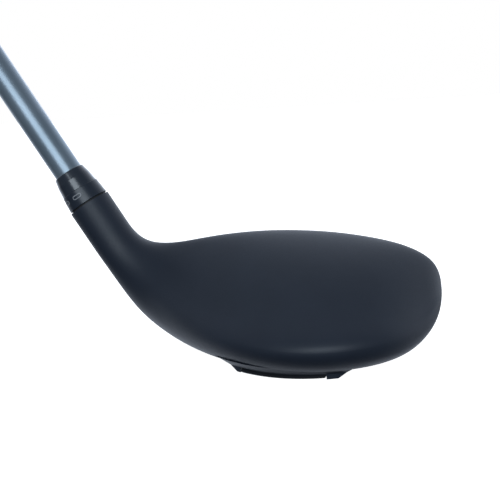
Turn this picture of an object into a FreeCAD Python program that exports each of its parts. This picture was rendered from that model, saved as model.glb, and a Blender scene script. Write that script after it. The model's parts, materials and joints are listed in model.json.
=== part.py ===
"""Right-handed 22 degree hybrid golf club with an adjustable hosel and a sole weight, in millimetres.

Frame: the origin is on the sole's rest land. +X points to the toe, +Y to the target, +Z up.
The club is in its address position, so the shaft leans back over -X at the lie angle.

The club is three groups of pieces on one shaft axis, plus a weight cartridge in the sole:
  shaft group   shaft, its bonded tip sleeve and ferrule, and the grip on its tape
  head group    cast body, crown, face plate and the small parts that stay in them
  screws        one holds the head on the sleeve, one holds the weight cartridge in the sole
"""
import FreeCAD, Part
import Sketcher
import math
import os

Vector = FreeCAD.Vector
doc = FreeCAD.newDocument("hybrid_club")

# Driving dimensions. Lengths are in mm and angles in degrees. Stations ("_at", "_end") are distances
# up the shaft axis from the point where that axis meets the ground.
DIMENSIONS = {
    # how the club stands
    "lie_angle": 60.0,
    "loft_angle": 22.0,
    "ground_point_x": -42.0,
    "ground_point_y": 13.0,
    # hosel and its bore
    "hosel_radius": 7.15,
    "hosel_top_at": 55.55,
    "bore_radius": 5.97,
    "bore_floor_at": 23.0,
    "spline_root_radius": 5.35,
    "spline_tip_radius": 6.02,
    "spline_end_at": 32.1,
    "port_radius": 5.0,
    "port_floor_at": 20.0,
    "web_hole_radius": 3.1,
    # hosel screw, its washer and its retaining clip
    "screw_head_radius": 4.3,
    "screw_head_at": 14.5,
    "screw_seat_at": 18.95,
    "screw_radius": 2.5,
    "screw_end_at": 34.5,
    "screw_drive_reach": 2.25,
    "screw_drive_depth": 2.6,
    "washer_bore_radius": 2.75,
    "washer_radius": 4.75,
    "washer_at": 19.0,
    "clip_radius": 4.2,
    "clip_at": 23.1,
    "clip_end_at": 24.5,
    # tip sleeve
    "sleeve_at": 25.5,
    "sleeve_core_radius": 5.2,
    "sleeve_tooth_radius": 5.9,
    "sleeve_tooth_width": 1.5,
    "sleeve_teeth_end_at": 31.5,
    "sleeve_step_at": 32.5,
    "sleeve_radius": 5.9,
    "sleeve_thread_radius": 2.58,
    "sleeve_thread_end_at": 35.5,
    "pocket_radius": 4.85,
    "pocket_floor_at": 37.5,
    "ring_at": 56.1,
    "ring_low_radius": 6.9,
    "ring_top_radius": 6.45,
    "ring_end_at": 61.2,
    # gasket between the ring and the hosel's top face
    "gasket_radius": 6.3,
    "gasket_at": 55.6,
    # ferrule
    "ferrule_bore_radius": 4.75,
    "ferrule_low_radius": 6.35,
    "ferrule_mid_radius": 5.9,
    "ferrule_mid_at": 64.9,
    "ferrule_top_radius": 5.3,
    "ferrule_end_at": 67.7,
    # shaft
    "tip_radius": 4.7,
    "tip_bore_radius": 2.9,
    "tip_at": 37.7,
    "tip_weight_end_at": 47.5,
    "taper_at": 110.0,
    "taper_bore_radius": 3.1,
    "grip_mouth_at": 743.0,
    "shaft_mouth_radius": 6.75,
    "shaft_mouth_bore": 5.6,
    "shaft_butt_at": 1005.0,
    "shaft_butt_radius": 7.6,
    "shaft_butt_bore": 6.6,
    # grip
    "tape_thickness": 0.2,
    "mouth_radius": 8.9,
    "lip_radius": 9.3,
    "lip_end_at": 746.0,
    "lower_grip_radius": 9.6,
    "lower_grip_at": 800.0,
    "upper_grip_radius": 12.0,
    "upper_grip_at": 955.0,
    "flare_radius": 13.2,
    "flare_at": 990.0,
    "cap_radius": 15.75,
    "cap_edge_at": 1007.5,
    "cap_face_radius": 14.8,
    "club_length": 1010.0,
    "vent_radius": 1.6,
    # walls of the hollow head
    "face_wall": 2.3,
    "crown_wall": 0.9,
    "skirt_wall": 1.9,
    "sole_wall": 2.3,
    "hosel_tube_radius": 8.2,
    # sole weight cartridge: its centre, its turn in plan, and its plate and block
    "weight_x": -1.8,
    "weight_y": -10.6,
    "weight_turn": -8.9,
    "rear_arc_radius": 34.0,
    "plate_rear": 11.0,
    "plate_front": 7.0,
    "plate_half_width": 12.75,
    "plate_low": 0.2,
    "plate_high": 1.4,
    "block_half_width": 9.5,
    "block_half_depth": 6.0,
    "block_high": 6.0,
    "weight_gap": 0.15,
    "side_gap": 0.3,
    "plate_bevel": 0.35,
    "reveal_gap": 0.3,
    "pad_thickness": 0.4,
    "housing_wall": 1.8,
    "housing_high": 8.0,
    # weight screw and the threaded insert that it turns in
    "counterbore_radius": 4.1,
    "counterbore_high": 3.2,
    "weight_screw_low": 0.6,
    "weight_screw_head_radius": 3.8,
    "weight_screw_seat": 3.15,
    "weight_screw_radius": 2.45,
    "weight_screw_end": 12.0,
    "weight_drive_reach": 1.9,
    "weight_drive_depth": 1.6,
    "weight_hole_radius": 2.7,
    "insert_bore_radius": 2.53,
    "insert_radius": 3.6,
    "insert_high": 12.6,
    "boss_radius": 5.2,
    "boss_high": 12.8,
}

sheet = doc.addObject("Spreadsheet::Sheet", "sizes")
for row, (alias, number) in enumerate(DIMENSIONS.items(), start=1):
    sheet.set("A%d" % row, alias.replace("_", " "))
    sheet.set("B%d" % row, str(number))
    sheet.setAlias("B%d" % row, alias)
doc.recompute()


def size(alias):
    """A driving dimension, read back from the sheet."""
    return float(sheet.get(alias))


def is_number(word):
    return word.replace(".", "", 1).isdigit()


def total(formula):
    """The value of a sum such as "ring_at - 0.5": words are aliases or plain numbers."""
    result = 0.0
    sign = 1.0
    for word in formula.split():
        if word in ("+", "-"):
            sign = 1.0 if word == "+" else -1.0
        else:
            result += sign * (float(word) if is_number(word) else size(word))
    return result


def bound(formula):
    """The same sum as an expression on the sheet's cells."""
    words = []
    for word in formula.split():
        plain = word in ("+", "-") or is_number(word)
        words.append(word if plain else "sizes." + word)
    return " ".join(words)


# The shaft axis: a frame whose +Z runs up the shaft from the ground point.
LIE = math.radians(size("lie_angle"))
GROUND = Vector(size("ground_point_x"), size("ground_point_y"), 0)
UP_SHAFT = Vector(-math.cos(LIE), 0, math.sin(LIE))
SHAFT_FRAME = FreeCAD.Placement(GROUND, FreeCAD.Rotation(Vector(0, 1, 0), size("lie_angle") - 90))
# The cartridge: a frame whose +Z is up, turned in plan so that its rear arc faces the skirt.
WEIGHT_FRAME = FreeCAD.Placement(
    Vector(size("weight_x"), size("weight_y"), 0),
    FreeCAD.Rotation(Vector(0, 0, 1), size("weight_turn")),
)


# ---------------------------------------------------------------- sketches and turned bodies

def origin_plane(body, role):
    for feature in body.Origin.OriginFeatures:
        if feature.Role == role:
            return feature
    raise ValueError(role)


def new_body(name, placement):
    body = doc.addObject("PartDesign::Body", name)
    body.Label = name
    body.Placement = placement
    return body


def new_sketch(body, name, role):
    sketch = body.newObject("Sketcher::SketchObject", name)
    sketch.AttachmentSupport = [(origin_plane(body, role), "")]
    sketch.MapMode = "FlatFace"
    return sketch


def bind(sketch, kind, index, formula):
    """Hold one coordinate of a line's first point at a distance from the sketch's origin."""
    number = total(formula)
    if abs(number) < 1e-9:
        axis = -2 if kind == "DistanceX" else -1
        sketch.addConstraint(Sketcher.Constraint("PointOnObject", index, 1, axis))
        return
    place = sketch.addConstraint(Sketcher.Constraint(kind, -1, 1, index, 1, number))
    sketch.setExpression("Constraints[%d]" % place, bound(formula))


def closed_outline(sketch, corners):
    """A polygon whose corners are pairs of sums on the sheet."""
    points = [Vector(total(across), total(along), 0) for across, along in corners]
    count = len(points)
    for index in range(count):
        line = Part.LineSegment(points[index], points[(index + 1) % count])
        sketch.addGeometry(line, False)
    for index in range(count):
        after = (index + 1) % count
        sketch.addConstraint(Sketcher.Constraint("Coincident", index, 2, after, 1))
    for index, (across, along) in enumerate(corners):
        bind(sketch, "DistanceX", index, across)
        bind(sketch, "DistanceY", index, along)


def turned(name, corners, placement):
    """A body of revolution from (radius, station) corners."""
    body = new_body(name, placement)
    sketch = new_sketch(body, name + "_profile", "XZ_Plane")
    closed_outline(sketch, corners)
    turn = body.newObject("PartDesign::Revolution", name + "_turn")
    turn.Profile = sketch
    turn.ReferenceAxis = (sketch, ["V_Axis"])
    turn.Angle = 360
    doc.recompute()
    return body


def circle_sketch(body, name, centre, radius, station):
    """A circle square to the axis, at a station given as a sum on the sheet."""
    sketch = new_sketch(body, name, "XY_Plane")
    sketch.addGeometry(Part.Circle(Vector(centre, 0, 0), Vector(0, 0, 1), radius), False)
    sketch.AttachmentOffset = FreeCAD.Placement(Vector(0, 0, total(station)), FreeCAD.Rotation())
    sketch.setExpression("AttachmentOffset.Base.z", bound(station))
    return sketch


LOBE_SHARE = 0.25
CORE_SHARE = 0.72


def star_recess(body, station, reach, depth):
    """Cut a six-lobed driver recess that opens downwards at a station."""
    lobe = reach * LOBE_SHARE
    before = body.Shape.Volume
    core = body.newObject("PartDesign::Pocket", body.Name + "_recess")
    core.Profile = circle_sketch(body, body.Name + "_recess_core", 0, reach * CORE_SHARE, station)
    core.Length = depth
    core.Reversed = True
    lobes = body.newObject("PartDesign::Pocket", body.Name + "_lobe")
    lobes.Profile = circle_sketch(body, body.Name + "_lobe_circle", reach - lobe, lobe, station)
    lobes.Length = depth
    lobes.Reversed = True
    doc.recompute()
    ring = body.newObject("PartDesign::PolarPattern", body.Name + "_lobes")
    ring.Originals = [lobes]
    ring.Axis = (lobes.Profile[0], ["N_Axis"])
    ring.Angle = 360
    ring.Occurrences = 6
    body.Tip = ring
    doc.recompute()
    if before - body.Shape.Volume < reach * reach * depth:
        raise ValueError(body.Name + ": the driver recess cut nothing")


# ---------------------------------------------------------------- pieces turned about the shaft axis

shaft = turned("shaft", [
    ("tip_bore_radius", "tip_at"),
    ("tip_radius", "tip_at"),
    ("tip_radius", "taper_at"),
    ("shaft_mouth_radius", "grip_mouth_at"),
    ("shaft_butt_radius", "shaft_butt_at"),
    ("shaft_butt_bore", "shaft_butt_at"),
    ("shaft_mouth_bore", "grip_mouth_at"),
    ("taper_bore_radius", "taper_at"),
    ("tip_bore_radius", "tip_weight_end_at"),
], SHAFT_FRAME)

tip_weight = turned("tip_weight", [
    ("0", "tip_at"),
    ("tip_bore_radius", "tip_at"),
    ("tip_bore_radius", "tip_weight_end_at"),
    ("0", "tip_weight_end_at"),
], SHAFT_FRAME)

shaft_bond = turned("shaft_bond", [
    ("tip_radius", "tip_at"),
    ("pocket_radius", "tip_at"),
    ("pocket_radius", "ring_end_at"),
    ("tip_radius", "ring_end_at"),
], SHAFT_FRAME)

ferrule = turned("ferrule", [
    ("ferrule_bore_radius", "ring_end_at"),
    ("ferrule_low_radius", "ring_end_at"),
    ("ferrule_mid_radius", "ferrule_mid_at"),
    ("ferrule_top_radius", "ferrule_end_at - 0.15"),
    ("ferrule_top_radius - 0.15", "ferrule_end_at"),
    ("ferrule_bore_radius", "ferrule_end_at"),
], SHAFT_FRAME)

hosel_sleeve = turned("hosel_sleeve", [
    ("sleeve_thread_radius", "sleeve_at"),
    ("sleeve_core_radius", "sleeve_at"),
    ("sleeve_core_radius", "sleeve_step_at"),
    ("sleeve_radius", "sleeve_step_at"),
    ("sleeve_radius", "ring_at"),
    ("ring_low_radius - 0.15", "ring_at"),
    ("ring_low_radius", "ring_at + 0.15"),
    ("ring_top_radius", "ring_end_at - 0.15"),
    ("ring_top_radius - 0.15", "ring_end_at"),
    ("pocket_radius", "ring_end_at"),
    ("pocket_radius", "pocket_floor_at"),
    ("0", "pocket_floor_at"),
    ("0", "sleeve_thread_end_at"),
    ("sleeve_thread_radius", "sleeve_thread_end_at"),
], SHAFT_FRAME)

# Eight spline teeth round the sleeve's foot give the head its eight index positions.
SPLINE_COUNT = 8
tooth_sketch = new_sketch(hosel_sleeve, "tooth_outline", "XY_Plane")
tooth_half = size("sleeve_tooth_width") / 2
TOOTH_ROOT = 0.4
tooth_start = size("sleeve_core_radius") - TOOTH_ROOT
tooth_corners = [
    Vector(tooth_start, -tooth_half, 0),
    Vector(size("sleeve_tooth_radius"), -tooth_half, 0),
    Vector(size("sleeve_tooth_radius"), tooth_half, 0),
    Vector(tooth_start, tooth_half, 0),
]
for corner in range(4):
    side = Part.LineSegment(tooth_corners[corner], tooth_corners[(corner + 1) % 4])
    tooth_sketch.addGeometry(side, False)
for corner in range(4):
    tooth_sketch.addConstraint(Sketcher.Constraint("Coincident", corner, 2, (corner + 1) % 4, 1))
tooth_sketch.AttachmentOffset = FreeCAD.Placement(Vector(0, 0, size("sleeve_at")), FreeCAD.Rotation())
tooth_sketch.setExpression("AttachmentOffset.Base.z", "sizes.sleeve_at")
tooth = hosel_sleeve.newObject("PartDesign::Pad", "tooth")
tooth.Profile = tooth_sketch
tooth.setExpression("Length", "sizes.sleeve_teeth_end_at - sizes.sleeve_at")
doc.recompute()
teeth = hosel_sleeve.newObject("PartDesign::PolarPattern", "teeth")
teeth.Originals = [tooth]
teeth.Axis = (tooth_sketch, ["N_Axis"])
teeth.Angle = 360
teeth.Occurrences = SPLINE_COUNT
hosel_sleeve.Tip = teeth
doc.recompute()

hosel_gasket = turned("hosel_gasket", [
    ("sleeve_radius", "gasket_at"),
    ("gasket_radius", "gasket_at"),
    ("gasket_radius", "ring_at"),
    ("sleeve_radius", "ring_at"),
], SHAFT_FRAME)

grip_tape = turned("grip_tape", [
    ("shaft_mouth_radius", "grip_mouth_at"),
    ("shaft_mouth_radius + tape_thickness", "grip_mouth_at"),
    ("shaft_butt_radius + tape_thickness", "shaft_butt_at"),
    ("shaft_butt_radius", "shaft_butt_at"),
], SHAFT_FRAME)

grip_body = turned("grip_body", [
    ("shaft_mouth_radius + tape_thickness", "grip_mouth_at"),
    ("mouth_radius", "grip_mouth_at"),
    ("lip_radius", "grip_mouth_at + 0.8"),
    ("lip_radius", "lip_end_at"),
    ("lower_grip_radius", "lower_grip_at"),
    ("upper_grip_radius", "upper_grip_at"),
    ("flare_radius", "flare_at"),
    ("cap_radius - 0.6", "shaft_butt_at"),
    ("shaft_butt_radius + tape_thickness", "shaft_butt_at"),
], SHAFT_FRAME)

grip_cap = turned("grip_cap", [
    ("vent_radius", "shaft_butt_at"),
    ("cap_radius - 0.3", "shaft_butt_at"),
    ("cap_radius", "shaft_butt_at + 0.5"),
    ("cap_radius", "cap_edge_at"),
    ("cap_face_radius", "club_length"),
    ("vent_radius", "club_length"),
], SHAFT_FRAME)

hosel_screw = turned("hosel_screw", [
    ("0", "screw_head_at"),
    ("screw_head_radius - 0.5", "screw_head_at"),
    ("screw_head_radius", "screw_head_at + 0.5"),
    ("screw_head_radius", "screw_seat_at"),
    ("screw_radius", "screw_seat_at"),
    ("screw_radius", "screw_end_at - 0.6"),
    ("screw_radius - 0.6", "screw_end_at"),
    ("0", "screw_end_at"),
], SHAFT_FRAME)
star_recess(hosel_screw, "screw_head_at", size("screw_drive_reach"), size("screw_drive_depth"))

screw_seat_washer = turned("screw_seat_washer", [
    ("washer_bore_radius", "washer_at"),
    ("washer_radius", "washer_at"),
    ("washer_radius", "port_floor_at"),
    ("washer_bore_radius", "port_floor_at"),
], SHAFT_FRAME)

screw_clip = turned("screw_clip", [
    ("screw_radius", "clip_at"),
    ("clip_radius", "clip_at"),
    ("clip_radius", "clip_end_at"),
    ("screw_radius", "clip_end_at"),
], SHAFT_FRAME)

# ---------------------------------------------------------------- pieces turned about the weight's axis

rear_weight_screw = turned("rear_weight_screw", [
    ("0", "weight_screw_low"),
    ("weight_screw_head_radius - 0.4", "weight_screw_low"),
    ("weight_screw_head_radius", "weight_screw_low + 0.4"),
    ("weight_screw_head_radius", "weight_screw_seat"),
    ("weight_screw_radius", "weight_screw_seat"),
    ("weight_screw_radius", "weight_screw_end - 0.5"),
    ("weight_screw_radius - 0.5", "weight_screw_end"),
    ("0", "weight_screw_end"),
], WEIGHT_FRAME)
star_recess(rear_weight_screw, "weight_screw_low", size("weight_drive_reach"), size("weight_drive_depth"))

weight_thread_insert = turned("weight_thread_insert", [
    ("insert_bore_radius", "block_high + pad_thickness"),
    ("insert_radius", "block_high + pad_thickness"),
    ("insert_radius", "insert_high"),
    ("insert_bore_radius", "insert_high"),
], WEIGHT_FRAME)


# ---------------------------------------------------------------- head skin

# Control sections of the skin, from the neck to the toe. Each is a tilted plane (tilt from vertical)
# through a point (x, z) measured from the ground point, and gives, within that plane:
#   front, low   the face's lower end: how far forward and how high
#   top          height of the topline
#   rear, crease the rearmost point and its height, where crown and skirt meet
#   sole         height of the sole, and tuck: how far the skirt runs in under the crease
#   blend        0 is a round neck of the given radius, 1 is the full head section
NECK = [
    {"tilt": 48, "x": -15.0, "z": 28.5, "radius": 8.2},
]
SECTIONS = [
    {"tilt": 29.7, "x": -12.6, "z": 10.2, "front": 8.5, "low": 3.0, "top": 33.6, "rear": -13.6,
     "crease": 16.5, "sole": 2.5, "tuck": 5.0, "blend": 0.77, "radius": 9.4},
    {"tilt": 17.3, "x": 0.4, "z": 0.9, "front": 9.0, "low": 4.0, "top": 37.6, "rear": -24.2,
     "crease": 14.9, "sole": 1.2, "tuck": 9.0},
    {"tilt": 7.1, "x": 17.6, "z": -0.6, "front": 9.5, "low": 3.5, "top": 39.4, "rear": -38.0,
     "crease": 13.1, "sole": 0.4, "tuck": 11.0},
    {"tilt": 0, "x": 36, "z": 0, "front": 10.0, "low": 3.5, "top": 39.1, "rear": -49.2,
     "crease": 12.6, "sole": 0.4, "tuck": 12.0},
    {"tilt": 0, "x": 54, "z": 0, "front": 9.5, "low": 3.5, "top": 38.0, "rear": -52.6,
     "crease": 13.9, "sole": 1.2, "tuck": 11.2},
    {"tilt": 0, "x": 70, "z": 0, "front": 8.0, "low": 5.0, "top": 34.6, "rear": -43.8,
     "crease": 13.2, "sole": 2.9, "tuck": 7.2},
    {"tilt": 0, "x": 79.8, "z": 0, "front": 5.6, "low": 8.0, "top": 30.8, "rear": -29.2,
     "crease": 10.8, "sole": 5.0, "tuck": 6.0},
    {"tilt": 0, "x": 85.9, "z": 0, "front": 1.6, "low": 13.0, "top": 25.2, "rear": -16.2,
     "crease": 16.6, "sole": 11.2, "tuck": 3.6},
]
TOE_POINT = Vector(86.0, -7.3, 19.3)
POLES_AROUND = 16
FACE_STEPS = (0.06, 0.36, 0.66, 0.93)
CROWN_STEPS = (0.32, 0.60, 0.85)
CROWN_FALL = 1.7
CROWN_RISE = 1.2
# Shares and offsets that round the corners of a section: the leading edge, the topline, the crease
# and the turn from the skirt into the sole.
EDGE_BACK, EDGE_SHARE = 1.5, 0.35
BROW_BACK, BROW_RISE = 2.5, 0.9
CREASE_OUT, CREASE_UP, CREASE_DOWN = 0.6, 2.2, 1.6
SKIRT_IN, SKIRT_UP = 0.55, 0.42
SOLE_IN, SOLE_LIFT = 1.5, 1.2
SOLE_SHARES = (0.35, 0.70)
SOLE_FRONT, SOLE_FRONT_LIFT = 5, 0.2
HOSEL_STATIONS_BELOW = (0, 6, 11, 16)
# The skin's seam runs along this pole, low on the skirt, where nothing is cut.
SEAM_POLE = 11


def round_poles(radius):
    """Poles of a closed cubic curve that follows a circle."""
    step = 2 * math.pi / POLES_AROUND
    reach = radius * 6 / (4 + 2 * math.cos(step))
    return [(reach * math.cos((k - 2) * step), reach * math.sin((k - 2) * step))
            for k in range(POLES_AROUND)]


def head_poles(section):
    """Poles of a head section, anticlockwise from the leading edge, as (forward, up) pairs."""
    front, low, top = section["front"], section["low"], section["top"]
    rear, crease = section["rear"], section["crease"]
    sole, tuck = section["sole"], section["tuck"]
    brow = front - (top - low) * math.tan(math.radians(size("loft_angle")))
    poles = [(front - EDGE_BACK, sole + EDGE_SHARE * (low - sole))]
    poles += [(front + step * (brow - front), low + step * (top - low)) for step in FACE_STEPS]
    poles.append((brow - BROW_BACK, top + BROW_RISE))
    for step in CROWN_STEPS:
        height = crease + (top + CROWN_RISE - crease) * (1 - step ** CROWN_FALL)
        poles.append((brow + step * (rear - brow), height))
    poles.append((rear + CREASE_OUT, crease + CREASE_UP))
    poles.append((rear + CREASE_OUT, crease - CREASE_DOWN))
    poles.append((rear + SKIRT_IN * tuck, sole + SKIRT_UP * (crease - sole)))
    sole_rear = rear + SOLE_IN * tuck
    sole_front = front - SOLE_FRONT
    poles.append((sole_rear, sole + SOLE_LIFT))
    poles += [(sole_rear + share * (sole_front - sole_rear), sole) for share in SOLE_SHARES]
    poles.append((sole_front, sole + SOLE_FRONT_LIFT))
    return poles


def inset(poles, walls):
    """Move each pole of a closed loop inwards by its wall."""
    count = len(poles)
    moved = []
    for k in range(count):
        before, after = poles[k - 1], poles[(k + 1) % count]
        forward, up = after[0] - before[0], after[1] - before[1]
        length = math.hypot(forward, up)
        moved.append((poles[k][0] - walls[k] * up / length, poles[k][1] + walls[k] * forward / length))
    return moved


def placed(poles, tilt, x, z):
    """Poles of a tilted section as points of the model."""
    lean = math.radians(tilt)
    rise = Vector(math.sin(lean), 0, math.cos(lean))
    centre = GROUND + Vector(x, 0, z)
    return [centre + Vector(0, forward, 0) + rise * up for forward, up in poles]


def blended(section):
    poles = head_poles(section)
    share = section.get("blend", 1.0)
    if share == 1.0:
        return poles
    ring = round_poles(section["radius"])
    return [(share * a[0] + (1 - share) * b[0], share * a[1] + (1 - share) * b[1])
            for a, b in zip(poles, ring)]


def hosel_rows():
    """Four round sections down the hosel, which hold its start straight."""
    rows = []
    for below in HOSEL_STATIONS_BELOW:
        station = UP_SHAFT * (size("hosel_top_at") - below)
        rows.append(placed(round_poles(size("hosel_radius")), size("lie_angle"), station.x, station.z))
    return rows


def skin(rows):
    """A smooth surface through rows of poles: closed around and clamped at both ends."""
    rows = [row[SEAM_POLE:] + row[:SEAM_POLE] for row in rows]
    spans = len(rows) - 3
    surface = Part.BSplineSurface()
    surface.buildFromPolesMultsKnots(
        rows,
        [4] + [1] * (spans - 1) + [4],
        [1] * (POLES_AROUND + 1),
        [float(k) for k in range(spans + 1)],
        [float(k) for k in range(POLES_AROUND + 1)],
        False, True, 3, 3,
    )
    return surface.toShape()


def closed_solid(faces):
    """A solid from faces that meet. The fix turns every face outwards."""
    solid = Part.makeSolid(Part.makeShell(faces))
    solid.fix(1e-4, 1e-4, 1e-3)
    if not solid.isValid() or solid.Volume <= 0:
        raise ValueError("the faces don't close")
    return solid


def outer_skin():
    rows = hosel_rows()
    for section in NECK:
        rows.append(placed(round_poles(section["radius"]), section["tilt"], section["x"], section["z"]))
    for section in SECTIONS:
        rows.append(placed(blended(section), section["tilt"], section["x"], section["z"]))
    rows.append([GROUND + TOE_POINT] * POLES_AROUND)
    side = skin(rows)
    rims = [edge for edge in side.Edges if not edge.Degenerated]
    top = GROUND + UP_SHAFT * size("hosel_top_at")
    rim = min(rims, key=lambda edge: (edge.BoundBox.Center - top).Length)
    return closed_solid([side, Part.Face(Part.Wire([rim]))])


CAVITY_HEEL_END = Vector(-4, -3, 15)
TOE_WALL = 2.0
EDGE_WALL = 3.0
CREASE_EXTRA_WALL = 0.5


def cavity():
    """The hollow inside: the same sections, moved in by the walls."""
    walls = [EDGE_WALL] + [size("face_wall")] * 4 + [EDGE_WALL] + [size("crown_wall")] * 3
    walls += [size("skirt_wall") + CREASE_EXTRA_WALL] * 2 + [size("skirt_wall")] + [size("sole_wall")] * 4
    rows = [[GROUND + CAVITY_HEEL_END] * POLES_AROUND]
    for section in SECTIONS[1:]:
        inward = TOE_WALL if section is SECTIONS[-1] else 0.0
        poles = inset(head_poles(section), walls)
        rows.append(placed(poles, section["tilt"], section["x"] - inward, section["z"]))
    rows.append([GROUND + TOE_POINT - Vector(TOE_WALL, 0, 0)] * POLES_AROUND)
    return closed_solid([skin(rows)])


# ---------------------------------------------------------------- pontoon and weight cartridge outlines

def weight_outline(half_width, rear, front, height):
    """A D in plan at a height: a rear arc, two straight sides and a round-cornered front."""
    arc_centre = -rear + size("rear_arc_radius")
    side_rear = arc_centre - math.sqrt(size("rear_arc_radius") ** 2 - half_width ** 2)
    corner = 0.35 * half_width
    low = Vector(-half_width, side_rear, height)
    high = Vector(half_width, side_rear, height)
    bend = corner * (1 - math.sqrt(0.5))
    points = [
        Vector(half_width, front - corner, height),
        Vector(half_width - bend, front - bend, height),
        Vector(half_width - corner, front, height),
        Vector(-half_width + corner, front, height),
        Vector(-half_width + bend, front - bend, height),
        Vector(-half_width, front - corner, height),
    ]
    edges = [
        Part.Arc(low, Vector(0, -rear, height), high).toShape(),
        Part.LineSegment(high, points[0]).toShape(),
        Part.Arc(points[0], points[1], points[2]).toShape(),
        Part.LineSegment(points[2], points[3]).toShape(),
        Part.Arc(points[3], points[4], points[5]).toShape(),
        Part.LineSegment(points[5], low).toShape(),
    ]
    return Part.Wire(edges)


def plate(half_width, rear, front, low, high):
    face = Part.Face(weight_outline(half_width, rear, front, low))
    return face.extrude(Vector(0, 0, high - low))


def at_weight(shape):
    shape.Placement = WEIGHT_FRAME.multiply(shape.Placement)
    return shape


def on_shaft_axis(radius, low, high):
    cylinder = Part.makeCylinder(radius, high - low, Vector(0, 0, low))
    cylinder.Placement = SHAFT_FRAME.multiply(cylinder.Placement)
    return cylinder


def at_weight_axis(radius, low, high):
    return at_weight(Part.makeCylinder(radius, high - low, Vector(0, 0, low)))


PONTOON_HALF_WIDTH = 15.3
PONTOON_OFFSET = 0.9
PONTOON_FRONT = 15.0
# The pad's levels: how high each is, and how far its rear edge reaches behind the plate's.
PONTOON_LEVELS = [(0, 0), (1.6, 0.2), (6.2, 7.1)]
SIDE_SLOPE = 1.45
FRONT_SLOPE = 1.6


def pontoon():
    """The raised pad under the sole. Its sides slope out, and its rear runs up into the skirt."""
    outlines = [
        weight_outline(PONTOON_HALF_WIDTH + SIDE_SLOPE * height, size("plate_rear") + reach,
                       PONTOON_FRONT + FRONT_SLOPE * height, height)
        for height, reach in PONTOON_LEVELS
    ]
    pad = Part.makeLoft(outlines, True, True)
    pad.translate(Vector(PONTOON_OFFSET, 0, 0))
    return at_weight(pad)


def weight_pocket():
    """The space for the cartridge, open below and at the rear edge of its plate."""
    gap = size("weight_gap")
    roof = size("block_high") + size("pad_thickness")
    flat = plate(size("plate_half_width") + size("side_gap"), size("plate_rear") + 3,
                 size("plate_front") + gap, -1, size("plate_high") + size("reveal_gap"))
    half_width, half_depth = size("block_half_width") + gap, size("block_half_depth") + gap
    deep = Part.makeBox(2 * half_width, 2 * half_depth, roof, Vector(-half_width, -half_depth, 0))
    return at_weight(flat.fuse(deep))


def weight_housing():
    """Solid metal round the pocket, inside the head, with a boss for the threaded insert."""
    wall = size("housing_wall")
    half_width, half_depth = size("block_half_width") + wall, size("block_half_depth") + wall
    high = size("housing_high")
    box = Part.makeBox(2 * half_width, 2 * half_depth, high, Vector(-half_width, -half_depth, 0))
    boss = Part.makeCylinder(size("boss_radius"), size("boss_high"))
    return at_weight(box.fuse(boss))


def spline_bore():
    """The hosel's bore: plain above, and grooved for the sleeve's teeth at its foot."""
    floor, end = size("bore_floor_at"), size("spline_end_at")
    bore = on_shaft_axis(size("bore_radius"), end, size("hosel_top_at") + 5)
    bore = bore.fuse(on_shaft_axis(size("spline_root_radius"), floor, end))
    groove_width = size("sleeve_tooth_width") + 0.3
    for turn in range(SPLINE_COUNT):
        groove = Part.makeBox(size("spline_tip_radius"), groove_width, end - floor,
                              Vector(0, -groove_width / 2, floor))
        groove.Placement = SHAFT_FRAME.multiply(
            FreeCAD.Placement(Vector(), FreeCAD.Rotation(Vector(0, 0, 1), turn * 360 / SPLINE_COUNT)))
        bore = bore.fuse(groove)
    return bore


def screw_port():
    """The way in for the hosel screw, through the sole of the heel, up to the web it pulls on."""
    port = on_shaft_axis(size("port_radius"), -5, size("port_floor_at"))
    return port.fuse(on_shaft_axis(size("web_hole_radius"), 0, size("bore_floor_at") + 1))


# ---------------------------------------------------------------- face plate and crown

# The face plate's frame: +Y up the face and +Z into the head, from the middle of the leading edge.
FACE_FRAME = FreeCAD.Placement(
    GROUND + Vector(0, SECTIONS[3]["front"], SECTIONS[3]["low"]),
    FreeCAD.Rotation(Vector(1, 0, 0), size("loft_angle") + 90),
)
INTO_HEAD = FACE_FRAME.Rotation.multVec(Vector(0, 0, 1))


# The face plate's outline in that frame, and how far its prism reaches out and in.
FACE_CORNERS = {"low_heel": (12, 3.5), "low_toe": (60, 3.5), "high_toe": (64, 31.5), "high_heel": (14, 36)}
FACE_TOE_BULGE = (75.5, 17)
FACE_HEEL_BULGE = (7.5, 20)
FACE_REACH = 4.5


def face_prism():
    """The plate's outline, swept through the face wall."""
    points = {name: Vector(x, y, -FACE_REACH) for name, (x, y) in FACE_CORNERS.items()}
    toe_bulge = Vector(*FACE_TOE_BULGE, -FACE_REACH)
    heel_bulge = Vector(*FACE_HEEL_BULGE, -FACE_REACH)
    outline = Part.Wire([
        Part.LineSegment(points["low_heel"], points["low_toe"]).toShape(),
        Part.Arc(points["low_toe"], toe_bulge, points["high_toe"]).toShape(),
        Part.LineSegment(points["high_toe"], points["high_heel"]).toShape(),
        Part.Arc(points["high_heel"], heel_bulge, points["low_heel"]).toShape(),
    ])
    prism = Part.Face(outline).extrude(Vector(0, 0, 2 * FACE_REACH))
    prism.Placement = FACE_FRAME
    return prism


SCORE_LINES = 9
SCORE_PITCH = 3.0
SCORE_WIDTH = 0.85
SCORE_DEPTH = 0.4
FIRST_SCORE_LINE = 6.5
SCORE_START, SCORE_END = 18.0, 62.0


def score_lines(skin_solid):
    """Grooves of one depth across the face: bars, less the skin moved in by that depth."""
    bars = []
    for line in range(SCORE_LINES):
        height = FIRST_SCORE_LINE + line * SCORE_PITCH
        bars.append(Part.makeBox(SCORE_END - SCORE_START, SCORE_WIDTH, 6,
                                 Vector(SCORE_START, height - SCORE_WIDTH / 2, -3)))
    tool = Part.makeCompound(bars)
    tool.Placement = FACE_FRAME
    inner = skin_solid.copy()
    inner.translate(INTO_HEAD * SCORE_DEPTH)
    return tool.cut(inner)


CROWN_SEAM = {"x": 9.0, "y": -8.5, "z": 13.8}


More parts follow.
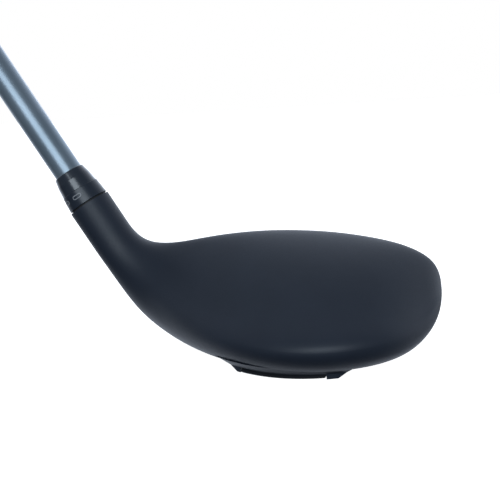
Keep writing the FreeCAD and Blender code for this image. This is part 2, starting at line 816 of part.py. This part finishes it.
def crown_region():
    """Everything above the crease and behind the topline's return."""
    low = GROUND + Vector(CROWN_SEAM["x"], -80, CROWN_SEAM["z"])
    return Part.makeBox(100, 80 + CROWN_SEAM["y"], 60, low)


def add_feature(name, shape):
    feature = doc.addObject("Part::Feature", name)
    feature.Label = name
    feature.Shape = shape
    return feature


outside = outer_skin()
hollow = cavity()
housing = weight_housing()
hosel_tube = on_shaft_axis(size("hosel_tube_radius"), 0, size("hosel_top_at"))
room = hollow.cut(hosel_tube).cut(housing)
shell = outside.fuse(pontoon()).cut(room)

crown_shell = add_feature("crown_shell", shell.common(crown_region()))
plate_blank = shell.common(face_prism())
face_plate = add_feature("face_plate", plate_blank.cut(score_lines(outside)))
body_shape = shell.cut(crown_region()).cut(face_prism())
body_shape = body_shape.cut(spline_bore()).cut(screw_port()).cut(weight_pocket())
insert_bore = at_weight_axis(size("insert_radius"), size("block_high"), size("insert_high") + 1)
head_body = add_feature("head_body", body_shape.cut(insert_bore))

# A puddle of hot-melt adhesive on the inside of the sole towards the toe, which tunes the head's mass.
PUDDLE_RADIUS, PUDDLE_TOP = 11, 5.5
puddle_region = Part.makeCylinder(PUDDLE_RADIUS, PUDDLE_TOP, GROUND + Vector(64, -17, 0))
hot_melt_pad = add_feature("hot_melt_pad", room.common(puddle_region))


# ---------------------------------------------------------------- weight cartridge and its pad

def bevelled_plate():
    """The cartridge's plate, with a bevel along its upper and lower edges."""
    low, high, bevel = size("plate_low"), size("plate_high"), size("plate_bevel")
    outlines = [
        weight_outline(size("plate_half_width") - inset, size("plate_rear") - inset,
                       size("plate_front") - inset, height)
        for inset, height in ((bevel, low), (0, low + bevel), (0, high - bevel), (bevel, high))
    ]
    return Part.makeLoft(outlines, True, True)


def cartridge():
    flat = bevelled_plate()
    half_width, half_depth = size("block_half_width"), size("block_half_depth")
    rise = size("block_high") - size("plate_high")
    block = Part.makeBox(2 * half_width, 2 * half_depth, rise,
                         Vector(-half_width, -half_depth, size("plate_high")))
    solid = flat.fuse(block).removeSplitter()
    solid = solid.cut(Part.makeCylinder(size("counterbore_radius"), size("counterbore_high")))
    return at_weight(solid.cut(Part.makeCylinder(size("weight_hole_radius"), 20)))


rear_weight = add_feature("rear_weight", cartridge())


def damping_pad():
    half_width, half_depth = size("block_half_width") - 0.5, size("block_half_depth") - 0.5
    pad = Part.makeBox(2 * half_width, 2 * half_depth, size("pad_thickness"),
                       Vector(-half_width, -half_depth, size("block_high")))
    return at_weight(pad.cut(Part.makeCylinder(size("insert_radius") + 0.3, 20)))


rear_weight_pad = add_feature("rear_weight_pad", damping_pad())

# ---------------------------------------------------------------- check and write

PIECES = [
    shaft, tip_weight, shaft_bond, ferrule, hosel_sleeve, hosel_gasket, grip_tape, grip_body, grip_cap,
    head_body, crown_shell, face_plate, hot_melt_pad, screw_seat_washer, weight_thread_insert,
    rear_weight_pad, hosel_screw, screw_clip, rear_weight, rear_weight_screw,
]

doc.recompute()
for item in doc.Objects:
    if "Invalid" in item.State or "Error" in item.State:
        raise ValueError(item.Name + " failed: " + ", ".join(item.State))
os.makedirs("parts", exist_ok=True)
for piece in PIECES:
    shape = piece.Shape
    if shape.isNull() or not shape.isValid():
        raise ValueError(piece.Label + " has no valid shape")
    if len(shape.Solids) != 1:
        raise ValueError("%s is %d solids" % (piece.Label, len(shape.Solids)))
    shape.exportStep("parts/" + piece.Label + ".step")
    print("%-22s %9.3f cm3" % (piece.Label, shape.Volume / 1000))
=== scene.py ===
"""Looks of the hybrid golf club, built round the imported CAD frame. Blender 4.5, metres."""
import bpy
import bmesh
import json
import math
from mathutils import Matrix, Vector


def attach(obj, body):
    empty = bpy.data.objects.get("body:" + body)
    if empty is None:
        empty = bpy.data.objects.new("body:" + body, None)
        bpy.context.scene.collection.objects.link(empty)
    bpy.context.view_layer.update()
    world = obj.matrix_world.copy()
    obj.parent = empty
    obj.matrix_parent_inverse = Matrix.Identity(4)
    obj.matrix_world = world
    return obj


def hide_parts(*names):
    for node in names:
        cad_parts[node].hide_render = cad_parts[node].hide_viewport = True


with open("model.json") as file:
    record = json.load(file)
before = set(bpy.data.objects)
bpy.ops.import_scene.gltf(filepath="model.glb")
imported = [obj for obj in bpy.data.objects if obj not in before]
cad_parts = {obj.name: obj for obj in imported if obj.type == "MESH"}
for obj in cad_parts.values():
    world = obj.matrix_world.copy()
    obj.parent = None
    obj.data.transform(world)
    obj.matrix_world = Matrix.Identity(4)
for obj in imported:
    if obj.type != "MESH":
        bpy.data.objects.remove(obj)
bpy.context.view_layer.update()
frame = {"nodes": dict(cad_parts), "record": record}

MM = 0.001
scene = bpy.context.scene


# ---------------------------------------------------------------- places read from the frame

def mount(name):
    for entry in frame["record"]["mounts"]:
        if entry["name"] == name:
            return Vector(entry["pos_m"]), Vector(entry["axis"])
    raise KeyError(name)


BUTT, UP_SHAFT = mount("butt_hole")
FORWARD = Vector((0, 1, 0))                      # towards the target, square to the shaft
ACROSS = FORWARD.cross(UP_SHAFT).normalized()    # square to both, towards the toe


def station(node, end):
    """How far a node reaches along the shaft from the butt mount: end 0 is its low end and 1 its high end."""
    places = [(vertex.co - BUTT).dot(UP_SHAFT) for vertex in frame["nodes"][node].data.vertices]
    return max(places) if end else min(places)


def shaft_point(along, radius, angle):
    """A point at a station along the shaft. Angle 0 faces the player and grows towards the toe."""
    out = -FORWARD * math.cos(angle) + ACROSS * math.sin(angle)
    return BUTT + UP_SHAFT * along + out * radius


# ---------------------------------------------------------------- material helpers

def new_material(name):
    material = bpy.data.materials.new(name)
    material.use_nodes = True
    nodes = material.node_tree.nodes
    nodes.clear()
    shader = nodes.new("ShaderNodeBsdfPrincipled")
    output = nodes.new("ShaderNodeOutputMaterial")
    material.node_tree.links.new(shader.outputs["BSDF"], output.inputs["Surface"])
    return material, shader


def link(material, source, target):
    material.node_tree.links.new(source, target)


NOISE_ROUGHNESS = 0.55
RAMP_START, RAMP_END = 0.3, 0.7


def noise(material, scale, detail):
    """Noise over the object's own coordinates, which are metres."""
    place = material.node_tree.nodes.new("ShaderNodeTexCoord")
    node = material.node_tree.nodes.new("ShaderNodeTexNoise")
    node.inputs["Scale"].default_value = scale
    node.inputs["Detail"].default_value = detail
    node.inputs["Roughness"].default_value = NOISE_ROUGHNESS
    link(material, place.outputs["Object"], node.inputs["Vector"])
    return node.outputs["Fac"]


def ramp(material, factor, low, high):
    """Map a factor to a colour or grey between two stops."""
    node = material.node_tree.nodes.new("ShaderNodeValToRGB")
    stops = node.color_ramp.elements
    stops[0].position, stops[1].position = RAMP_START, RAMP_END
    stops[0].color = (*low, 1) if isinstance(low, tuple) else (low, low, low, 1)
    stops[1].color = (*high, 1) if isinstance(high, tuple) else (high, high, high, 1)
    link(material, factor, node.inputs["Fac"])
    return node.outputs["Color"]


def bump(material, shader, height, strength, distance):
    node = material.node_tree.nodes.new("ShaderNodeBump")
    node.inputs["Strength"].default_value = strength
    node.inputs["Distance"].default_value = distance
    link(material, height, node.inputs["Height"])
    link(material, node.outputs["Normal"], shader.inputs["Normal"])


CLOUD_SCALE, CLOUD_DETAIL = 60.0, 4.0
FINE_GRAIN, GRAIN_DETAIL = 2600.0, 2.0
COAT_ROUGHNESS = 0.16
PEEL_HEIGHT = 0.02 * MM


def coated_metal(name, dark, light, rough_low, rough_high,
                 grain=FINE_GRAIN, metallic=0.0, coat=0.0, peel=0.12):
    """Any solid finish: cloudy colour, uneven gloss and a fine grain or orange peel in the surface."""
    material, shader = new_material(name)
    clouds = noise(material, CLOUD_SCALE, CLOUD_DETAIL)
    fine = noise(material, grain, GRAIN_DETAIL)
    link(material, ramp(material, clouds, dark, light), shader.inputs["Base Color"])
    link(material, ramp(material, fine, rough_low, rough_high), shader.inputs["Roughness"])
    shader.inputs["Metallic"].default_value = metallic
    shader.inputs["Coat Weight"].default_value = coat
    shader.inputs["Coat Roughness"].default_value = COAT_ROUGHNESS
    bump(material, shader, fine, peel, PEEL_HEIGHT)
    return material


# ---------------------------------------------------------------- materials

def paint_nodes(material, *names):
    for name in names:
        mesh = frame["nodes"][name].data
        mesh.materials.clear()
        mesh.materials.append(material)


head_paint = coated_metal("head_paint", (0.018, 0.025, 0.040), (0.022, 0.030, 0.047), 0.48, 0.56)
sleeve_paint = coated_metal("sleeve_anodised", (0.022, 0.029, 0.043), (0.027, 0.036, 0.052), 0.28, 0.36,
                            coat=0.1)
ferrule_gloss = coated_metal("ferrule_gloss", (0.026, 0.034, 0.048), (0.032, 0.041, 0.057), 0.18, 0.24,
                             coat=0.8)
shaft_paint = coated_metal("shaft_lacquer", (0.25, 0.32, 0.38), (0.30, 0.37, 0.44), 0.32, 0.38,
                           metallic=0.5, coat=0.4)
mark_paint = coated_metal("mark_paint", (0.30, 0.31, 0.33), (0.38, 0.39, 0.41), 0.5, 0.6)
face_steel = coated_metal("face_steel", (0.085, 0.087, 0.092), (0.095, 0.097, 0.102), 0.30, 0.42,
                          metallic=0.9)
weight_metal = coated_metal("weight_metal", (0.02, 0.022, 0.027), (0.028, 0.03, 0.036), 0.28, 0.36,
                            metallic=0.3)
screw_oxide = coated_metal("screw_oxide", (0.02, 0.02, 0.022), (0.035, 0.035, 0.038), 0.3, 0.45, metallic=0.6)
plain_steel = coated_metal("plain_steel", (0.42, 0.42, 0.43), (0.55, 0.55, 0.56), 0.25, 0.4, metallic=1.0)
brass = coated_metal("turned_brass", (0.50, 0.36, 0.15), (0.62, 0.46, 0.20), 0.25, 0.4, metallic=1.0)
epoxy = coated_metal("epoxy", (0.20, 0.17, 0.11), (0.30, 0.25, 0.17), 0.2, 0.35)
paper_tape = coated_metal("paper_tape", (0.58, 0.55, 0.47), (0.68, 0.65, 0.57), 0.7, 0.85)
hot_melt = coated_metal("hot_melt", (0.48, 0.38, 0.18), (0.58, 0.48, 0.25), 0.35, 0.5)
grip_rubber = coated_metal("grip_rubber", (0.014, 0.014, 0.015), (0.024, 0.024, 0.026), 0.62, 0.8,
                           grain=1400.0, peel=0.5)

paint_nodes(head_paint, "head_body", "crown_shell")
paint_nodes(face_steel, "face_plate")
paint_nodes(sleeve_paint, "hosel_sleeve")
paint_nodes(ferrule_gloss, "ferrule")
paint_nodes(shaft_paint, "shaft")
paint_nodes(weight_metal, "rear_weight")
paint_nodes(screw_oxide, "hosel_screw", "rear_weight_screw")
paint_nodes(plain_steel, "screw_seat_washer", "screw_clip", "weight_thread_insert")
paint_nodes(brass, "tip_weight")
paint_nodes(epoxy, "shaft_bond")
paint_nodes(paper_tape, "grip_tape")
paint_nodes(hot_melt, "hot_melt_pad")
paint_nodes(grip_rubber, "grip_body", "grip_cap", "rear_weight_pad", "hosel_gasket")


# ---------------------------------------------------------------- pieces made here

def add_piece(name, points, faces, material, body, smooth=True):
    """A closed mesh that rides on a body."""
    mesh = bpy.data.meshes.new(name)
    mesh.from_pydata(points, [], faces)
    mesh.materials.append(material)
    repair = bmesh.new()
    repair.from_mesh(mesh)
    bmesh.ops.recalc_face_normals(repair, faces=repair.faces)
    repair.to_mesh(mesh)
    repair.free()
    for face in mesh.polygons:
        face.use_smooth = smooth
    piece = bpy.data.objects.new(name, mesh)
    scene.collection.objects.link(piece)
    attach(piece, body)
    return piece


def closed_tube(rings):
    """Points and faces of rings joined each to the next, and the last to the first. Every ring is closed."""
    count, around = len(rings), len(rings[0])
    points = [point for ring in rings for point in ring]
    faces = []
    for ring in range(count):
        following = (ring + 1) % count
        for place in range(around):
            beside = (place + 1) % around
            faces.append((ring * around + place, ring * around + beside,
                          following * around + beside, following * around + place))
    return points, faces


SAME_LEVEL = 0.05 * MM


def outer_profile(node, filler=None):
    """The outline of a turned CAD node: stations along the shaft, and the widest radius at each. What is no
    wider than the filler, the node inside it, is its bore and is left out."""
    bore = max(radius for _, radius in outer_profile(filler)) + SAME_LEVEL if filler else 0.0
    places = []
    for vertex in frame["nodes"][node].data.vertices:
        offset = vertex.co - BUTT
        along = offset.dot(UP_SHAFT)
        places.append((along, (offset - UP_SHAFT * along).length))
    places.sort()
    profile = []
    for along, radius in places:
        if radius <= bore:
            continue
        if profile and along - profile[-1][0] < SAME_LEVEL:
            profile[-1][1] = max(profile[-1][1], radius)
        else:
            profile.append([along, radius])
    return profile


def radius_at(profile, along):
    for (low, low_radius), (high, high_radius) in zip(profile, profile[1:]):
        if along <= high:
            share = max(0.0, (along - low) / (high - low))
            return low_radius + share * (high_radius - low_radius)
    return profile[-1][1]


# Index marks: rounded outlines in pale paint, raised a little from the sleeve's ring.
MARK_HALF_LENGTH = 1.5 * MM
MARK_HALF_HEIGHT = 0.55 * MM
MARK_LINE = 0.26 * MM
MARK_RISE = 0.06 * MM
MARK_ABOVE_MIDDLE = 0.45 * MM
MARK_ANGLES = (math.radians(4), math.radians(-44))
ARC_STEPS = 12
SIDE_STEPS = 8


def stadium(half_length, half_height):
    """Points round a rounded outline: each is a place along the ring and one along the shaft."""
    straight = half_length - half_height
    points = []
    for side in (1, -1):
        for step in range(ARC_STEPS + 1):
            turn = math.pi * (step / ARC_STEPS - 0.5)
            points.append((side * (straight + half_height * math.cos(turn)),
                           side * half_height * math.sin(turn)))
        for step in range(1, SIDE_STEPS):
            points.append((side * straight * (1 - 2 * step / SIDE_STEPS), side * half_height))
    return points


def add_index_mark(name, angle):
    middle = 0.5 * (station("hosel_gasket", 1) + station("hosel_sleeve", 1)) + MARK_ABOVE_MIDDLE
    profile = outer_profile("hosel_sleeve", filler="shaft_bond")
    edges = {spread: stadium(MARK_HALF_LENGTH + spread * MARK_LINE, MARK_HALF_HEIGHT + spread * MARK_LINE)
             for spread in (-0.5, 0.5)}
    rings = []
    for place in range(len(edges[0.5])):
        ring = []
        for spread, rise in ((-0.5, -1), (0.5, -1), (0.5, 1), (-0.5, 1)):
            around, up = edges[spread][place]
            radius = radius_at(profile, middle + up)
            ring.append(shaft_point(middle + up, radius + rise * MARK_RISE, angle + around / radius))
        rings.append(ring)
    points, faces = closed_tube(rings)
    add_piece(name, points, faces, mark_paint, "shaft_assembly", smooth=False)


for number, angle in enumerate(MARK_ANGLES):
    add_index_mark("index_mark_%d" % (number + 1), angle)


# The grip's moulded surface: a plain mouth with two rings, a field of diamond pads between smooth
# strips, and ribs below the cap.
GRIP_AROUND = 168
GRIP_ALONG = 520
MOUTH_LEVELS = [0.0, 0.0008, 0.0016]    # shares of the grip's length, close together at its mouth
GROOVE_DEPTH = 0.35 * MM
GROOVE_SHOULDER, GROOVE_FLOOR = 0.72, 0.98
DIAMONDS_AROUND = 12
DIAMOND_PITCH = 6.0 * MM
STRIPS = 3
STRIP_EDGE = (0.10, 0.22)
RIB_PITCH = 3.2 * MM
RING_PITCH = 4.0 * MM
# Where each pattern fades in and out, as shares of the grip's length from its mouth.
DIAMONDS_IN, DIAMONDS_OUT = (0.07, 0.085), (0.86, 0.875)
RIBS_IN, RIBS_OUT = (0.89, 0.895), (0.965, 0.97)
RINGS_IN, RINGS_OUT = (0.02, 0.022), (0.05, 0.052)


def fade(value, low, high):
    """0 below low, 1 above high, and a smooth rise between."""
    share = min(1.0, max(0.0, (value - low) / (high - low)))
    return share * share * (3 - 2 * share)


def groove(position):
    """1 in the groove at each whole number, 0 on the land between."""
    return fade(abs(math.cos(math.pi * position)), GROOVE_SHOULDER, GROOVE_FLOOR)


def between(share, rise, fall):
    """1 between the rise and the fall, which are pairs of shares, and 0 outside them."""
    return fade(share, *rise) * (1 - fade(share, *fall))


def grip_depth(along, angle, length):
    """How deep the pattern cuts at a point: along from the mouth, of a grip of this length."""
    share = along / length
    turn = angle / (2 * math.pi)
    beside_strip = fade(abs(math.cos(math.pi * STRIPS * turn)), *STRIP_EDGE)
    first = groove(DIAMONDS_AROUND * turn + along / DIAMOND_PITCH)
    second = groove(DIAMONDS_AROUND * turn - along / DIAMOND_PITCH)
    diamonds = max(first, second) * between(share, DIAMONDS_IN, DIAMONDS_OUT) * beside_strip
    ribs = groove(along / RIB_PITCH) * between(share, RIBS_IN, RIBS_OUT)
    rings = groove(along / RING_PITCH) * between(share, RINGS_IN, RINGS_OUT)
    return GROOVE_DEPTH * max(diamonds, ribs, rings)


def add_grip():
    """The grip with its pattern: outside from mouth to cap, then back down its bore."""
    low, high = station("grip_body", 0), station("grip_body", 1)
    length = high - low
    profile, bore = outer_profile("grip_body", filler="grip_tape"), outer_profile("grip_tape")
    angles = [2 * math.pi * place / GRIP_AROUND for place in range(GRIP_AROUND)]
    levels = MOUTH_LEVELS + [step / GRIP_ALONG for step in range(2, GRIP_ALONG + 1)]
    rings = []
    for share in levels:
        along = low + share * length
        radius = radius_at(profile, along)
        rings.append([shaft_point(along, radius - grip_depth(along - low, angle, length), angle)
                      for angle in angles])
    for along in (high, low):
        rings.append([shaft_point(along, radius_at(bore, along), angle) for angle in angles])
    points, faces = closed_tube(rings)
    grip = add_piece("moulded_grip", points, faces, grip_rubber, "shaft_assembly")
    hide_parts("grip_body")


add_grip()


# ---------------------------------------------------------------- stage, lights and camera

FLOOR_HALF = 6.0
FLOOR_GLOW = 1.0
FLOOR_ROUGHNESS = 0.9
FLOOR_DARK, FLOOR_LIGHT = 0.90, 0.92
FLOOR_CLOUD_SCALE, FLOOR_CLOUD_DETAIL = 3.0, 3.0


def add_stage():
    """A pale floor that the camera sees. The object's own light comes from the world and the softbox."""
    material, shader = new_material("studio_floor")
    tone = noise(material, FLOOR_CLOUD_SCALE, FLOOR_CLOUD_DETAIL)
    link(material, ramp(material, tone, FLOOR_DARK, FLOOR_LIGHT), shader.inputs["Base Color"])
    shader.inputs["Roughness"].default_value = FLOOR_ROUGHNESS
    shader.inputs["Emission Color"].default_value = (1, 1, 1, 1)
    shader.inputs["Emission Strength"].default_value = FLOOR_GLOW
    mesh = bpy.data.meshes.new("studio_floor")
    half = FLOOR_HALF
    corners = [(-half, -half, 0), (half, -half, 0), (half, half, 0), (-half, half, 0)]
    mesh.from_pydata(corners, [], [(0, 1, 2, 3)])
    floor = bpy.data.objects.new("studio_floor", mesh)
    mesh.materials.append(material)
    scene.collection.objects.link(floor)
    floor.visible_diffuse = False
    floor.visible_glossy = False


def add_area(name, place, aim, size, power, colour):
    light = bpy.data.lights.new(name, "AREA")
    light.shape = "RECTANGLE"
    light.size, light.size_y = size
    light.energy = power
    light.color = colour
    item = bpy.data.objects.new(name, light)
    item.location = place
    item.rotation_euler = (Vector(aim) - Vector(place)).to_track_quat("-Z", "Y").to_euler()
    scene.collection.objects.link(item)


def add_math(tree, operation, first, second=0.0):
    node = tree.nodes.new("ShaderNodeMath")
    node.operation = operation
    for socket, value in zip(node.inputs, (first, second)):
        if isinstance(value, (int, float)):
            socket.default_value = value
        else:
            tree.links.new(value, socket)
    return node.outputs["Value"]


def add_range(tree, value, limits, to_low, to_high):
    """A smooth step: to_low at the first limit, to_high at the second."""
    node = tree.nodes.new("ShaderNodeMapRange")
    node.interpolation_type = "SMOOTHSTEP"
    tree.links.new(value, node.inputs["Value"])
    inputs = ("From Min", "From Max", "To Min", "To Max")
    for name, number in zip(inputs, (*limits, to_low, to_high)):
        node.inputs[name].default_value = number
    return node.outputs["Result"]


# Brightness of the studio's walls, as the object sees them. The one behind it is a white backdrop.
WALL_FRONT = 0.22
WALL_BACK = 1.7
WALL_LEFT = 0.08
RIGHT_SHARE = 0.62
ROOF_SHARE = 0.55
GROUND_SHARE = 0.10
FLOOR_SHARE = 1.10
FLOOR_MIDDLE_SHARE = 0.30
PANEL_SHARE = 0.50
BACKDROP_END_SHARE = 0.20
ABOVE_END_SHARE = 0.9
STUDIO_TINT = (0.84, 0.93, 1.08)
# Where each of them starts and ends: parts of the direction in which the object sees it.
FRONT_TO_BACK = (-0.1, 0.9)
MIDDLE_TO_LEFT = (0.0, -1.0)
MIDDLE_TO_RIGHT = (0.05, 0.55)
WALL_TO_ROOF = (0.25, 0.95)
BACKDROP_END = (-0.52, -0.26)
ABOVE_END = (0.1, 0.5)
BACKDROP_FOOT = (-0.30, 0.0)
FLOOR_TOP = (-0.55, -0.28)
FLOOR_DEPTH = (0.35, 0.72)
FLOOR_MIDDLE_SHIFT = 0.10
FLOOR_MIDDLE = (0.10, 0.32)
PANEL_SIDE = (0.42, 0.75)
PANEL_DEPTH = (-0.15, 0.30)
PANEL_TOP = (-0.05, 0.15)


def set_world():
    """A white studio: the camera sees plain white, and the object sees walls of uneven brightness."""
    world = bpy.data.worlds.new("studio")
    scene.world = world
    world.use_nodes = True
    tree = world.node_tree
    place = tree.nodes.new("ShaderNodeTexCoord")
    split = tree.nodes.new("ShaderNodeSeparateXYZ")
    tree.links.new(place.outputs["Generated"], split.inputs["Vector"])
    across, depth, height = (split.outputs[axis] for axis in "XYZ")
    back = add_range(tree, depth, FRONT_TO_BACK, WALL_FRONT, WALL_BACK)
    left = add_range(tree, across, MIDDLE_TO_LEFT, 0.0, WALL_LEFT)
    right = add_range(tree, across, MIDDLE_TO_RIGHT, 1.0, RIGHT_SHARE)
    roof = add_range(tree, height, WALL_TO_ROOF, 1.0, ROOF_SHARE)
    # The backdrop ends towards the left, less so higher up.
    end = add_range(tree, across, BACKDROP_END, BACKDROP_END_SHARE, 1.0)
    end = add_math(tree, "MAXIMUM", end, add_range(tree, height, ABOVE_END, 0.0, ABOVE_END_SHARE))
    above = add_math(tree, "MULTIPLY", add_range(tree, height, BACKDROP_FOOT, 0.0, 1.0), end)
    # It stands on a floor that is bright only far behind the object, and less so in the middle.
    below = add_math(tree, "MULTIPLY", add_range(tree, height, FLOOR_TOP, 1.0, 0.0),
                     add_range(tree, depth, FLOOR_DEPTH, 0.0, FLOOR_SHARE))
    aside = add_math(tree, "ABSOLUTE", add_math(tree, "ADD", across, FLOOR_MIDDLE_SHIFT))
    below = add_math(tree, "MULTIPLY", below, add_range(tree, aside, FLOOR_MIDDLE, FLOOR_MIDDLE_SHARE, 1.0))
    # Low bright panels stand at both sides.
    beside = add_math(tree, "ABSOLUTE", across)
    panels = add_math(tree, "MULTIPLY", add_range(tree, beside, PANEL_SIDE, 0.0, PANEL_SHARE),
                      add_range(tree, depth, PANEL_DEPTH, 0.0, 1.0))
    panels = add_math(tree, "MULTIPLY", panels, add_range(tree, height, PANEL_TOP, 1.0, 0.0))
    ground = add_math(tree, "ADD", add_math(tree, "ADD", above, below), GROUND_SHARE)
    ground = add_math(tree, "ADD", ground, panels)
    walls = add_math(tree, "MULTIPLY", add_math(tree, "ADD", back, left), right)
    walls = add_math(tree, "MULTIPLY", add_math(tree, "MULTIPLY", walls, roof), ground)
    seen = tree.nodes["Background"]
    seen.inputs["Color"].default_value = (1, 1, 1, 1)
    lit = tree.nodes.new("ShaderNodeBackground")
    lit.inputs["Color"].default_value = (*STUDIO_TINT, 1)
    tree.links.new(walls, lit.inputs["Strength"])
    path = tree.nodes.new("ShaderNodeLightPath")
    mix = tree.nodes.new("ShaderNodeMixShader")
    tree.links.new(path.outputs["Is Camera Ray"], mix.inputs["Fac"])
    tree.links.new(lit.outputs["Background"], mix.inputs[1])
    tree.links.new(seen.outputs["Background"], mix.inputs[2])
    tree.links.new(mix.outputs["Shader"], tree.nodes["World Output"].inputs["Surface"])


# The camera, at the photograph's angle. Its angles, aim and focal length come from a fit to the
# photograph's outline. Angles are in degrees and azimuth 0 looks along +Y. The focal length is in
# pixels of the 500 by 500 image.
IMAGE_WIDTH = 500
SENSOR_WIDTH = 36.0
CLIP_START = 0.005
CAMERA_AZIMUTH, CAMERA_ELEVATION, CAMERA_ROLL = 10.16, 12.05, 3.56
CAMERA_DISTANCE = 0.210
CAMERA_AIM = (-0.0129, -0.0050, 0.0346)
CAMERA_FOCAL = 697


def add_camera(azimuth, elevation, roll, distance, aim, focal_px):
    azimuth, elevation, roll = (math.radians(angle) for angle in (azimuth, elevation, roll))
    back = Vector((math.sin(azimuth) * math.cos(elevation), -math.cos(azimuth) * math.cos(elevation),
                   math.sin(elevation)))
    right = Vector((math.cos(azimuth), math.sin(azimuth), 0))
    up = back.cross(right)
    right, up = (right * math.cos(roll) - up * math.sin(roll), right * math.sin(roll) + up * math.cos(roll))
    data = bpy.data.cameras.new("camera")
    data.sensor_width = SENSOR_WIDTH
    data.lens = focal_px / IMAGE_WIDTH * SENSOR_WIDTH
    data.clip_start = CLIP_START
    camera = bpy.data.objects.new("camera", data)
    axes = Matrix((right, up, back)).transposed().to_4x4()
    camera.matrix_world = Matrix.Translation(Vector(aim) + back * distance) @ axes
    scene.collection.objects.link(camera)
    scene.camera = camera


# A large softbox on the player's side.
SOFTBOX_PLACE = (0.08, -0.95, 0.33)
SOFTBOX_AIM = (-0.05, 0, 0.05)
SOFTBOX_SIZE = (0.9, 0.6)
SOFTBOX_POWER = 5.6
SOFTBOX_COLOUR = (0.80, 0.91, 1.0)

add_stage()
set_world()
scene.view_settings.view_transform = "Standard"
add_area("softbox_front", SOFTBOX_PLACE, SOFTBOX_AIM, SOFTBOX_SIZE, SOFTBOX_POWER, SOFTBOX_COLOUR)
add_camera(CAMERA_AZIMUTH, CAMERA_ELEVATION, CAMERA_ROLL, CAMERA_DISTANCE, CAMERA_AIM, CAMERA_FOCAL)
